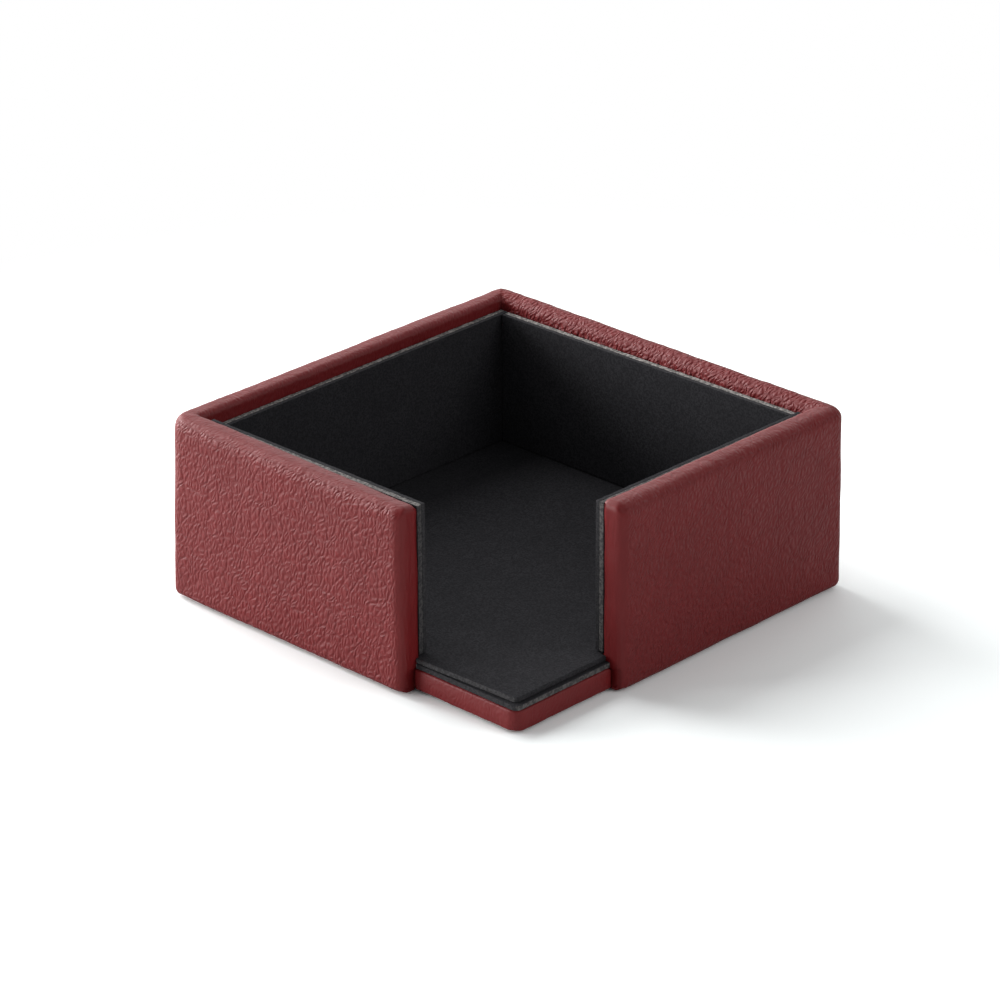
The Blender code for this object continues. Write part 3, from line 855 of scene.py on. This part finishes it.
def lining_sheet(layer, wall_name, finish, slot):
    """Upright sheet against one wall, with its cut edges in sight along the top and at a free end."""
    node_name = "lining_" + layer + "_" + wall_name
    low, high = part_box(node_name)
    across = 0 if high.x - low.x < high.y - low.y else 1
    along = 1 - across
    if layer == "card" and low[across] < 0:
        high[across] += LINING_GLUE
    elif layer == "card":
        low[across] -= LINING_GLUE
    bpy.ops.mesh.primitive_cube_add(size=1, location=(low + high) / 2, scale=high - low)
    sheet = bpy.context.active_object
    bpy.ops.object.transform_apply(location=True, rotation=False, scale=True)
    open_mesh(sheet)
    for end, top in zip((low[along], high[along]), LINING_TOPS[wall_name]):
        pick_edges(sheet, lambda middle, span: (middle.z > high.z * 0.9
                                                and abs(middle[along] - end) < CUT_EDGE))
        bpy.ops.transform.translate(value=(0, 0, top - high.z))
    bpy.ops.mesh.select_all(action="SELECT")
    bpy.ops.mesh.bevel(offset=CUT_EDGE, segments=2, affect="EDGES")
    length = high[along] - low[along]
    divide(sheet, lambda middle, span: abs(span[along]) > length * 0.9, length, CUT_STEP * 1.5)
    close_mesh()
    raw_lit_top, raw_lit_left, raw_lit_right = RAW_CUTS_AND_PAINTED_LIGHT["lining_" + layer]
    # Painted light: each wall scales the paleness of its top edge.
    cut_edges(sheet, across, raw_lit_top * RAW_TOPS_AND_PAINTED_LIGHT[wall_name], raw_lit_left, raw_lit_right)
    sheet.data.materials.append(finish)
    finish_piece(sheet, "glued_" + node_name, slot, node_name)


for wall_name in ("back_left", "back_right", "front_left", "front_right"):
    lining_sheet("card", wall_name, card_finish, "lining_card")
    lining_sheet("facing", wall_name, facing_finish, "black_facing")


# Bottom pad: thin dark pad glued under the slab, set back from its edge, so that the box stands
# softly and seems to float a little.
PAD_SHADE = (0.024, 0.023, 0.025, 1)
PAD_NAP = (0.010, 0.010, 0.011, 1)
PAD_FIBRE = 1800.0
PAD_TOOTH = 0.00008


def pad_fabric():
    """Thin black felt."""
    material, tree, shader = new_material("bottom_pad")
    place = node(tree, "TexCoord").outputs["Object"]
    felt = node(tree, "TexNoise", {"Vector": place, "Scale": PAD_FIBRE, "Detail": 3.0}).outputs[0]
    tree.links.new(mix(tree, ramp(tree, felt, 0.35, 0.65), PAD_NAP, PAD_SHADE), shader.inputs["Base Color"])
    tree.links.new(relief(tree, felt, PAD_TOOTH), shader.inputs["Normal"])
    shader.inputs["Roughness"].default_value = 0.95
    shader.inputs["Specular IOR Level"].default_value = 0.1
    return material


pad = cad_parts["bottom_pad"]
pad.data.materials.clear()
pad.data.materials.append(pad_fabric())


# Stage: white floor that fades into the white surroundings but keeps the shadow of the box,
# wide soft lamps from the left, and a long lens looking down into the open corner.
FLOOR_SIZE = 4.0
FLOOR_WHITE = (1.08, 1.12, 1.12, 1)
FLOOR_LIT = (0.85, 0.85, 0.85, 1)
FADE_START = 0.14
FADE_END = 0.25
DOME = 0.30
LAMP_WIDE = 0.5
LAMP_FAR = 1.0
LAMPS = ((-135, 10, 1.10), (-170, 24, 0.54), (180, 12, 0.74), (180, 55, 0.44), (135, 24, 0.20),
         (100, 30, 0.14), (20, 30, 0.27))
CAMERA_AT = (0.641311, -0.663248, 0.447307)
CAMERA_TURN = (65.30706, 0.30236, 43.99239)
CAMERA_LENS = 159.33


def white_floor():
    """Matt white floor, seen a little brighter than it lights, and fading out to plain white."""
    material, tree, shader = new_material("white_floor")
    tree.nodes.remove(shader)
    light_path = node(tree, "LightPath").outputs["Is Camera Ray"]
    shade = mix(tree, light_path, FLOOR_LIT, FLOOR_WHITE)
    matt = node(tree, "BsdfDiffuse", {"Color": shade}).outputs[0]
    glow = node(tree, "Emission", {"Color": (1, 1, 1, 1), "Strength": 1.0}).outputs[0]
    place = node(tree, "TexCoord").outputs["Object"]
    away = node(tree, "VectorMath", {0: place}, operation="LENGTH").outputs["Value"]
    fade = maths(tree, "MULTIPLY", ramp(tree, away, FADE_START, FADE_END), light_path)
    blend = node(tree, "MixShader", {0: fade, 1: matt, 2: glow}).outputs[0]
    tree.links.new(blend, tree.nodes["Material Output"].inputs["Surface"])
    return material


bpy.ops.mesh.primitive_plane_add(size=FLOOR_SIZE, location=(0, 0, 0))
floor = bpy.context.active_object
floor.name = "floor"
floor.data.materials.append(white_floor())

world = bpy.data.worlds.new("white_room")
bpy.context.scene.world = world
world.use_nodes = True
tree = world.node_tree
rays = node(tree, "LightPath").outputs
seen = maths(tree, "MAXIMUM", rays["Is Camera Ray"], rays["Is Transmission Ray"])
strength = node(tree, "MapRange", {"Value": seen, "To Min": DOME, "To Max": 1.0}).outputs[0]
tree.links.new(strength, tree.nodes["Background"].inputs["Strength"])
tree.nodes["Background"].inputs["Color"].default_value = (1, 1, 1, 1)

for turn, rise, level in LAMPS:
    turn, rise = math.radians(turn), math.radians(rise)
    toward = Vector((math.cos(rise) * math.cos(turn), math.cos(rise) * math.sin(turn), math.sin(rise)))
    bpy.ops.object.light_add(type="AREA", location=toward * LAMP_FAR)
    lamp = bpy.context.active_object
    lamp.rotation_euler = toward.to_track_quat("Z", "Y").to_euler()
    lamp.data.size = LAMP_WIDE
    lamp.data.energy = level * math.pi ** 2

bpy.ops.object.camera_add(location=CAMERA_AT, rotation=[math.radians(angle) for angle in CAMERA_TURN])
camera = bpy.context.active_object
camera.data.lens = CAMERA_LENS
camera.data.sensor_width = 36
bpy.context.scene.camera = camera
bpy.context.scene.view_settings.view_transform = "Standard"
